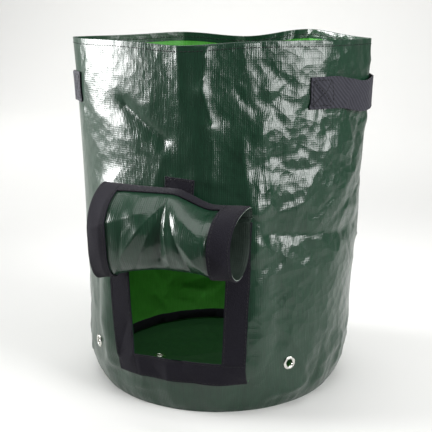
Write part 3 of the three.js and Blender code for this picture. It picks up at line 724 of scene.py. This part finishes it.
class BuildWall(bpy.types.Operator):
    """Build the creased wall with its hem, its seam fold, its window and its eyelet holes."""

    bl_idname = "planter_bag.wall"
    bl_label = "Wall"

    def execute(self, context):
        settings = context.scene.planter_bag
        sheet = settings.sheet_thickness * 1000
        hem = BAG_HEIGHT - HEM_HEIGHT
        z = np.concatenate([
            np.linspace(0, SILL_HEIGHT, 20)[:-1], np.linspace(SILL_HEIGHT, OPENING_TOP, 49)[:-1],
            np.linspace(OPENING_TOP, hem - 0.4, 51), np.linspace(hem, BAG_HEIGHT, 4),
        ])
        columns = WALL_COLUMNS
        angle = np.broadcast_to(np.arange(columns) * 360 / columns - 180, (len(z), columns)).copy()
        # Two columns follow the window's tapered sides, and those within some degrees of them move along
        within, foot = 18, 40
        middle = angle[0].copy()
        sides = []
        for x in (-HALF_OPENING, HALF_OPENING):
            shift = window_shift(np.full_like(z, x), z)
            edge = angle_at_x(x + shift, np.clip(z, SILL_HEIGHT, OPENING_TOP))
            near = int(np.argmin(np.abs(middle - edge[-1])))
            sides.append(near)
            weight = np.clip(1 - np.abs(turn_between(middle, middle[near])) / within, 0, 1)
            angle += (edge - middle[near])[:, None] * weight * smoothstep(0, foot, z)[:, None]
        height = np.broadcast_to(z[:, None], angle.shape).copy()
        centre_angle = (angle + np.roll(angle, -1, 1)) / 2
        centre_angle = np.where(np.abs(np.roll(angle, -1, 1) - angle) > 90, 180, centre_angle)
        centre_angle = (centre_angle[1:] + centre_angle[:-1]) / 2
        centre_z = (z[1:] + z[:-1])[:, None] / 2
        keep = np.ones(centre_angle.shape, bool)
        rows = (centre_z[:, 0] > SILL_HEIGHT) & (centre_z[:, 0] < OPENING_TOP)
        keep[np.ix_(rows, np.arange(sides[0], sides[1]))] = False
        hole = EYELET_HOLE + EYELET_METAL + CLEARANCE
        for at in WALL_EYELET_ANGLES:
            arc = math.radians(1) * GIRTH_RADIUS
            from_middle = np.hypot(turn_between(centre_angle, at) * arc, centre_z - WALL_EYELET_HEIGHT)
            keep &= from_middle > hole - HOLE_MARGIN
            across, up = turn_between(angle, at) * arc, height - WALL_EYELET_HEIGHT
            away = np.hypot(across, up)
            push = np.maximum(hole, away) / np.maximum(away, 0.1)
            near = away < hole
            angle = np.where(near, at + across * push / arc, angle)
            height = np.where(near, WALL_EYELET_HEIGHT + up * push, height)
        point, normal = wall_frame(angle, height)
        depth = np.where(height >= hem - 0.1, 2 * sheet, sheet)
        inner = point - normal * depth[..., None]
        inner[0] = point[0] - normal[0] * sheet + np.array([0, 0, sheet])
        rim = point[-1] - normal[-1] * sheet + np.array([0, 0, 0.5])
        corners = ((RETURN_OUTER, sheet), (RETURN_OUTER, SEAM_HEIGHT),
                   (RETURN_INNER, SEAM_HEIGHT), (RETURN_INNER, 0))
        fold = [level_ring(angle[0], radius, h) for radius, h in corners]
        count = point[..., 0].size
        over = np.arange(count).reshape(angle.shape)
        under = over + count
        rings = 2 * count + np.arange(5 * columns).reshape(5, columns)
        face = cells(*angle.shape, closed=True)
        inside = (face[..., ::-1] + count)[keep]
        loop = [under[0], rings[1], rings[2], rings[3], rings[4], over[0]]
        seam = [strip(a, b) for a, b in zip(loop[:-1], loop[1:])]
        outside = [face[keep], strip(over[-1], rings[0]), strip(rings[0], under[-1]),
                   hole_edges(keep, over, under)]
        quads = np.concatenate([*outside, *seam, inside])
        points = np.concatenate([point.reshape(-1, 3), inner.reshape(-1, 3), rim, *fold])
        grid = np.stack([np.radians(angle) * GIRTH_RADIUS, height], -1).reshape(-1, 2)
        ring_uv = [np.stack([np.radians(angle[0]) * GIRTH_RADIUS, np.full(columns, h)], -1)
                   for h in (BAG_HEIGHT, 0, -SEAM_HEIGHT, -SEAM_HEIGHT, 0)]
        uv = np.concatenate([grid, grid, *ring_uv]) / 1000
        # The hem is folded in, so its inside shows the outside film too
        below_hem = np.broadcast_to(centre_z < hem, keep.shape)[keep]
        slots = np.concatenate([np.zeros(len(quads) - len(inside), bool), below_hem])
        films = [outside_film(settings), inside_film_painted_glow(settings)]
        wall = make_piece("bag_wall_sheet", points, quads, uv, films, slots)
        settle(wall, "tarpaulin", "bag_wall")
        return {"FINISHED"}


class BuildBase(bpy.types.Operator):
    """Build the round base with its waves, its drain holes and its upturned edge."""

    bl_idname = "planter_bag.base"
    bl_label = "Base"

    def execute(self, context):
        settings = context.scene.planter_bag
        sheet = settings.sheet_thickness * 1000
        columns = BASE_COLUMNS
        angle = np.arange(columns) * 360 / columns
        radius = np.linspace(6, FLANGE_INNER - 1.4, 60)
        x, y = np.outer(radius, np.sin(np.radians(angle))), np.outer(radius, -np.cos(np.radians(angle)))
        keep = np.ones((len(radius) - 1, columns), bool)
        # Two sets of waves, some 150 and 100 mm long, and creases across them, flat again towards the edge
        wave = 1.3 + np.sin(x / 24 + np.sin(y / 31)) * 0.7 + np.sin(y / 17 - x / 43) * 0.6
        crease = sum(line_crease(x, y, fold) for fold in BASE_FOLDS)
        lift = np.maximum(0, wave + crease) * (1 - smoothstep(120, 150, np.hypot(x, y)))
        hole = EYELET_HOLE + EYELET_METAL + CLEARANCE
        for at in np.radians(FLOOR_EYELET_ANGLES):
            ex, ey = FLOOR_EYELET_CIRCLE * math.sin(at), -FLOOR_EYELET_CIRCLE * math.cos(at)
            keep &= np.hypot(cell_centres(x) - ex, cell_centres(y) - ey) > hole - HOLE_MARGIN
            away = np.hypot(x - ex, y - ey)
            push = np.where(away < hole, hole / np.maximum(away, 0.1), 1)
            x, y = ex + (x - ex) * push, ey + (y - ey) * push
            lift = lerp(FLOOR_LIFT, lift, smoothstep(10, 22, away))
        low = np.stack([x, y, lift], -1)
        top = low + np.array([0, 0, sheet])
        corners = ((FLANGE_OUTER, 0), (FLANGE_OUTER, SEAM_HEIGHT),
                   (FLANGE_INNER, SEAM_HEIGHT), (FLANGE_INNER, sheet))
        rim = [level_ring(angle, flange, h) for flange, h in corners]
        count = x.size
        under = np.arange(count).reshape(x.shape)
        over = under + count
        edge = 2 * count + np.arange(4 * columns).reshape(4, columns)
        middle = 2 * count + 4 * columns
        face = cells(*x.shape, closed=True)
        loop = [under[-1], *edge, over[-1]]
        quads = np.concatenate([face[keep], *[strip(a, b) for a, b in zip(loop[:-1], loop[1:])],
                                (face[..., ::-1] + count)[keep], hole_edges(keep, under, over)])
        ends = np.array([[0, 0, lift[0].mean()], [0, 0, lift[0].mean() + sheet]])
        points = np.concatenate([low.reshape(-1, 3), top.reshape(-1, 3), *rim, ends])
        low_fan = np.stack([np.full(columns, middle), np.roll(under[0], -1), under[0]], -1)
        top_fan = np.stack([np.full(columns, middle + 1), over[0], np.roll(over[0], -1)], -1)
        base = make_piece("bag_base_sheet", points, quads, points[:, :2] / 1000, [base_film(settings)],
                          fans=(low_fan, top_fan))
        settle(base, "tarpaulin", "bag_base")
        return {"FINISHED"}


class BuildBinding(bpy.types.Operator):
    """Build the tape over the base seam's raw edges: its section carried round, puckered by the sewing."""

    bl_idname = "planter_bag.binding"
    bl_label = "Seam binding"

    def execute(self, context):
        settings = context.scene.planter_bag
        angle = np.arange(BASE_COLUMNS) * 360 / BASE_COLUMNS
        pucker = 0.4 * np.cos(np.radians(41 * angle)) + 0.3 * np.cos(np.radians(67 * angle + 50))
        rise = 0.5 * np.cos(np.radians(23 * angle)) + 0.4 * np.cos(np.radians(9 * angle + 80))
        thin = np.exp(-((turn_between(angle, BINDING_THIN) / BINDING_THIN_SPREAD) ** 2))
        upper, lower = rise - 0.4, 1.5 * rise + BINDING_THIN_RISE * thin
        rings = []
        for radius, height, soft in BINDING_SECTION:
            wander = upper if height > SEAM_HEIGHT / 2 else lower
            rings.append(level_ring(angle, radius - 0.5 * soft * (pucker + 0.7), height + soft * wander))
        points = np.concatenate(rings)
        number = np.arange(len(points)).reshape(len(BINDING_SECTION), -1)
        quads = np.concatenate([strip(*pair) for pair in zip(number, np.roll(number, -1, 0))])
        tape = black_tape(settings)
        binding = make_piece("seam_binding_tape", points, quads, points[:, ::2] / 1000, [tape])
        settle(binding, "black_tape", "base_seam_binding")
        return {"FINISHED"}


class BuildWindowTapes(bpy.types.Operator):
    """Build the tapes sewn round the window and the tab that holds the flap, with their stitches."""

    bl_idname = "planter_bag.window_tapes"
    bl_label = "Window tapes"

    def execute(self, context):
        settings = context.scene.planter_bag
        outer, foot = HALF_OPENING + TAPE_WIDTH, SILL_HEIGHT - TAPE_WIDTH
        top = OPENING_TOP - FLAP_STEP - TAPE_THICKNESS
        lines = []
        tapes = (
            ("left", -outer, -HALF_OPENING, foot, top, 15, 90),
            ("right", HALF_OPENING, outer, SILL_HEIGHT + CLEARANCE, top, 15, 76),
            ("sill", -HALF_OPENING + CLEARANCE, outer, foot, SILL_HEIGHT, 70, 15),
        )
        for side, x0, x1, z0, z1, across, up in tapes:
            x, z = np.meshgrid(np.linspace(x0, x1, across), np.linspace(z0, z1, up))
            over, under, normal = tape_faces(x + window_shift(x, z), z)
            pile = black_tape(settings)
            tape = sheet_piece(f"window_tape_{side}_pile", over, under, x1 - x0, z1 - z0, pile)
            settle(tape, "black_tape", f"window_tape_{side}")
            lines += long_edges(over, normal, 1)
        u, v = np.meshgrid(np.linspace(-0.5, 0.5, 19), np.linspace(-0.5, 0.5, 15))
        tilt = -math.radians(TAB_TILT)
        x = TAB_OFFSET + u * TAB_WIDTH * math.cos(tilt) - v * TAB_HEIGHT * math.sin(tilt)
        z = TAB_BOTTOM + TAB_HEIGHT / 2 + u * TAB_WIDTH * math.sin(tilt) + v * TAB_HEIGHT * math.cos(tilt)
        over, under, normal = tape_faces(x, z)
        tab = sheet_piece("flap_holder_tab_pile", over, under, TAB_WIDTH, TAB_HEIGHT, black_tape(settings))
        settle(tab, "black_tape", "flap_holder_tab")
        inner = slice(1, -1)
        lines += [(over[pick], normal[pick]) for pick in ((1, inner), (-2, inner), (inner, 1), (inner, -2))]
        stitches = stitch_piece("window_stitches", lines, settings, thread(settings))
        settle(stitches, "black_tape")
        return {"FINISHED"}


class BuildFlap(bpy.types.Operator):
    """Build the rolled flap with its tapes and their stitches."""

    bl_idname = "planter_bag.flap"
    bl_label = "Rolled flap"

    def execute(self, context):
        settings = context.scene.planter_bag
        half = settings.sheet_thickness * 500
        x = np.linspace(-FLAP_HALF_WIDTH, FLAP_HALF_WIDTH, 125)
        lengths = np.concatenate([np.linspace(-FLAP_MARGIN, 0, 5), np.linspace(0, FLAP_LENGTH, 134)[1:]])
        point, normal = flap_frame(x, lengths)
        points, quads = closed_sheet(point + normal * half, point - normal * half)
        u, v = np.meshgrid(x, lengths)
        uv = np.tile(np.stack([u, v], -1).reshape(-1, 2) / 1000, (2, 1))
        # Faces are in order: the roll's outside, its inside, painted near black for the shade in the roll,
        # then the cut edges
        face = (len(x) - 1) * (len(lengths) - 1)
        slots = np.repeat([0, 1, 2], [face, face, len(quads) - 2 * face])
        edge = finish("Polyethylene film, cut edge", plain_material, settings.edge_colour, roughness=0.5)
        films = [outside_film(settings), shaded_lining_film(settings), edge]
        flap = make_piece("window_flap_sheet", points, quads, uv, films, slots)
        settle(flap, "tarpaulin", "window_flap")
        lines = [(point[1] + normal[1] * half, normal[1])]
        edge_start = FLAP_LENGTH - TAPE_WIDTH
        tapes = (
            ("left", -FLAP_HALF_WIDTH, -HALF_OPENING, FLAP_TAPE_START, 20, 112),
            ("right", HALF_OPENING, FLAP_HALF_WIDTH, FLAP_TAPE_START, 20, 112),
            ("edge", -HALF_OPENING + CLEARANCE, HALF_OPENING - CLEARANCE, edge_start, 80, 26),
        )
        for side, x0, x1, start, across, down in tapes:
            at, tape_lengths = np.linspace(x0, x1, across), np.linspace(start, FLAP_LENGTH, down)
            point, normal = flap_frame(at, tape_lengths)
            under = point + normal * (half + CLEARANCE)
            over = under + normal * TAPE_THICKNESS
            pile, long = black_tape(settings), FLAP_LENGTH - start
            tape = sheet_piece(f"flap_tape_{side}_pile", over, under, x1 - x0, long, pile)
            settle(tape, "black_tape", f"flap_tape_{side}")
            lines += long_edges(over, normal, 2)
        stitches = stitch_piece("flap_stitches", lines, settings, thread(settings))
        settle(stitches, "black_tape")
        return {"FINISHED"}


class BuildHandles(bpy.types.Operator):
    """Build both webbing handles and the stitches that hold them."""

    bl_idname = "planter_bag.handles"
    bl_label = "Handles"

    def execute(self, context):
        settings = context.scene.planter_bag
        half_turn = math.degrees(HANDLE_LENGTH / 2 / RIM_HALF_WIDTH)
        sewn_turn = math.degrees(HANDLE_SEWN / RIM_HALF_WIDTH)
        webbing = finish("Polypropylene webbing, twill woven", twill_webbing, settings.webbing_colour)

        def frame_at(middle, turn, rise):
            """Points of the webbing's back and their normals: it stands off and sags between sewn ends."""
            free = 1 - smoothstep(0, half_turn - sewn_turn, np.abs(turn))
            point, normal = wall_frame(middle + turn, HANDLE_HEIGHT + rise - HANDLE_SAG * free)
            return point + normal * (CLEARANCE + HANDLE_SLACK * free)[..., None], normal

        lines = []
        for side, middle in (("left", -90.0), ("right", 90.0)):
            turn, rise = np.meshgrid(np.linspace(-half_turn, half_turn, 96),
                                     np.linspace(-WEBBING_WIDTH / 2, WEBBING_WIDTH / 2, 17))
            under, normal = frame_at(middle, turn, rise)
            over = under + normal * WEBBING_THICKNESS
            handle = sheet_piece(f"handle_{side}_webbing", over, under, HANDLE_LENGTH, WEBBING_WIDTH, webbing)
            settle(handle, "webbing", f"handle_{side}")
            inset = 4.0
            high = WEBBING_WIDTH / 2 - inset
            margin = math.degrees(inset / RIM_HALF_WIDTH)
            for end in (-1, 1):
                far, near = end * (half_turn - margin), end * (half_turn - sewn_turn + margin)
                # A box with a cross in it
                corners = ((far, -high, near, -high), (near, -high, near, high), (near, high, far, high),
                           (far, high, far, -high), (far, -high, near, high), (far, high, near, -high))
                for t0, h0, t1, h1 in corners:
                    share = np.linspace(0, 1, 12)
                    point, normal = frame_at(middle, lerp(t0, t1, share), lerp(h0, h1, share))
                    lines.append((point + normal * (WEBBING_THICKNESS + THREAD_LIFT), normal))
        stitches = stitch_piece("handle_stitches", lines, settings, thread(settings))
        settle(stitches, "webbing")
        return {"FINISHED"}


class BuildHem(bpy.types.Operator):
    """Build the stitches of the hem, outside and inside."""

    bl_idname = "planter_bag.hem"
    bl_label = "Hem stitches"

    def execute(self, context):
        settings = context.scene.planter_bag
        point, normal = wall_frame(np.linspace(-180, 180, 500), BAG_HEIGHT - HEM_STITCH)
        depth = 2 * settings.sheet_thickness * 1000 + THREAD_LIFT
        lines = [(point + normal * THREAD_LIFT, normal), (point - normal * depth, -normal)]
        hem = stitch_piece("hem_stitches", lines, settings, thread(settings))
        settle(hem, "tarpaulin")
        return {"FINISHED"}


class BuildEyelets(bpy.types.Operator):
    """Build the eyelets of the wall and the floor with their washers."""

    bl_idname = "planter_bag.eyelets"
    bl_label = "Eyelets"

    def execute(self, context):
        settings = context.scene.planter_bag
        metal = nickel(settings)
        under, sheet = CLEARANCE, settings.sheet_thickness * 1000
        barrel = EYELET_HOLE + EYELET_METAL
        top = -sheet - WASHER_GAP
        lip_top = top - WASHER_GAP - EYELET_METAL
        arc = np.linspace(0, np.pi, 9)
        dome_middle, dome_half = (EYELET_FLANGE + EYELET_HOLE) / 2, (EYELET_FLANGE - EYELET_HOLE) / 2
        edge, crown = under + EYELET_EDGE, EYELET_DOME - EYELET_EDGE
        dome = [(dome_middle + dome_half * math.cos(a), edge + crown * math.sin(a)) for a in arc]
        lip_middle, lip_half = (EYELET_HOLE + EYELET_LIP) / 2, (EYELET_LIP - EYELET_HOLE) / 2
        lip = [(lip_middle - lip_half * math.cos(a), lip_top - EYELET_METAL * math.sin(a)) for a in arc]
        body = [*dome, *lip, (barrel, lip_top), (barrel, under), (EYELET_FLANGE, under)]
        hole, back = barrel + CLEARANCE, top - EYELET_METAL
        washer = [(hole, back), (EYELET_FLANGE, back), (EYELET_FLANGE, top), (hole, top)]
        x, y = axis_offset(WALL_EYELET_HEIGHT)
        places = []
        for i, at in enumerate(WALL_EYELET_ANGLES):
            sine, cosine = math.sin(math.radians(at)), math.cos(math.radians(at))
            reach = eyelet_radius(at)
            turn = ((cosine, 0, sine), (sine, 0, -cosine), (0, 1, 0))
            places.append(("wall", i + 1, (x + sine * reach, y - cosine * reach, WALL_EYELET_HEIGHT), turn))
        for i, at in enumerate(FLOOR_EYELET_ANGLES):
            place = (*level_ring(at, FLOOR_EYELET_CIRCLE, FLOOR_LIFT),)
            places.append(("floor", i + 1, place, ((1, 0, 0), (0, -1, 0), (0, 0, -1))))
        for where, number, place, turn in places:
            for kind, profile in (("eyelet", body), ("eyelet_washer", washer)):
                piece = lathe(f"{where}_{kind}_metal_{number}", profile, place, turn, metal)
                settle(piece, "nickel", f"{where}_{kind}_{number}")
        return {"FINISHED"}


def lamp(name, place, aim, size, power, spread):
    """A rectangular soft lamp in metres, watts and degrees of spread, aimed at a point."""
    light = bpy.data.lights.new(name, "AREA")
    light.shape = "RECTANGLE"
    light.size, light.size_y = size
    light.energy = power
    light.spread = math.radians(spread)
    holder = bpy.data.objects.new(name, light)
    holder.location = place
    holder.rotation_euler = (Vector(aim) - Vector(place)).to_track_quat("-Z", "Y").to_euler()
    bpy.context.scene.collection.objects.link(holder)
    return holder


class BuildStage(bpy.types.Operator):
    """Build the pale paper sweep, the soft lamps and the camera."""

    bl_idname = "planter_bag.stage"
    bl_label = "Stage"

    def execute(self, context):
        scene = context.scene
        paper = plain_material("Paper, matte white", linear("#EEEEEC"), roughness=0.9)
        # The sweep in metres: a floor, a bend and a wall behind
        left, right, front, back, bend, high = -2.8, 1.4, -0.5, 2.4, 0.6, 3.0
        turn = np.linspace(0, np.pi / 2, 13)
        y = np.concatenate([[front], back + bend * np.sin(turn), [back + bend]])
        z = np.concatenate([[0], bend * (1 - np.cos(turn)), [high]])
        points = np.concatenate([np.stack([np.full(len(y), side), y, z], -1) for side in (left, right)])
        number = np.arange(len(y))
        quads = np.stack([number[:-1], number[:-1] + len(y), number[1:] + len(y), number[1:]], -1)
        mesh = bpy.data.meshes.new("paper_sweep")
        mesh.from_pydata(points.tolist(), [], quads.tolist())
        mesh.polygons.foreach_set("use_smooth", np.ones(len(quads), bool))
        mesh.materials.append(paper)
        sweep = bpy.data.objects.new("paper_sweep", mesh)
        scene.collection.objects.link(sweep)
        lamp("left_softbox", (-1.3, -0.22, 0.72), (0, 0, 0.52), (1.0, 0.8), 8, 48)
        lamp("right_softbox", (1.3, -0.35, 0.75), (0, 0, 0.35), (1.0, 0.8), 4.2, 60)
        lamp("top_softbox", (0.0, -0.25, 2.2), (0, 0, 0), (2.2, 1.8), 31, 180)
        lamp("back_lamp", (-1.1, 1.5, 2.4), (-1.1, 3.0, 0.6), (3.0, 0.6), 62, 180)
        world = bpy.data.worlds.new("Dim studio")
        world.use_nodes = True
        background = world.node_tree.nodes["Background"]
        background.inputs["Color"].default_value = (1, 1, 1, 1)
        background.inputs["Strength"].default_value = 0.14
        scene.world = world
        scene.view_settings.view_transform = "Standard"
        camera = bpy.data.cameras.new("camera")
        camera.lens, camera.sensor_width, camera.shift_x = 67.8, 36, -0.0037
        holder = bpy.data.objects.new("camera", camera)
        holder.location = (0.3531, -1.0255, 0.4812)
        holder.rotation_euler = (math.radians(76), 0, math.radians(19))
        scene.collection.objects.link(holder)
        scene.camera = holder
        return {"FINISHED"}


OPERATORS = (BuildBase, BuildBinding, BuildWall, BuildWindowTapes, BuildFlap, BuildHandles, BuildHem,
             BuildEyelets, BuildStage)


class PlanterBagPanel(bpy.types.Panel):
    """Sizes, colours and the buttons that build each part."""

    bl_idname = "VIEW3D_PT_planter_bag"
    bl_label = "Planter bag"
    bl_space_type = "VIEW_3D"
    bl_region_type = "UI"
    bl_category = "Planter bag"

    def draw(self, context):
        settings = context.scene.planter_bag
        for name in settings.bl_rna.properties.keys():
            if name not in {"rna_type", "name"}:
                self.layout.prop(settings, name)
        for operator in OPERATORS:
            self.layout.operator(operator.bl_idname)


CLASSES = (PlanterBagSettings, *OPERATORS, PlanterBagPanel)


def register():
    """Add the classes and the settings."""
    for item in CLASSES:
        bpy.utils.register_class(item)
    bpy.types.Scene.planter_bag = bpy.props.PointerProperty(type=PlanterBagSettings)


def unregister():
    """Take the settings and the classes away."""
    del bpy.types.Scene.planter_bag
    for item in reversed(CLASSES):
        bpy.utils.unregister_class(item)


def main():
    """Build every part in order."""
    register()
    for operator in OPERATORS:
        group, name = operator.bl_idname.split(".")
        getattr(getattr(bpy.ops, group), name)()


if __name__ == "__main__":
    main()
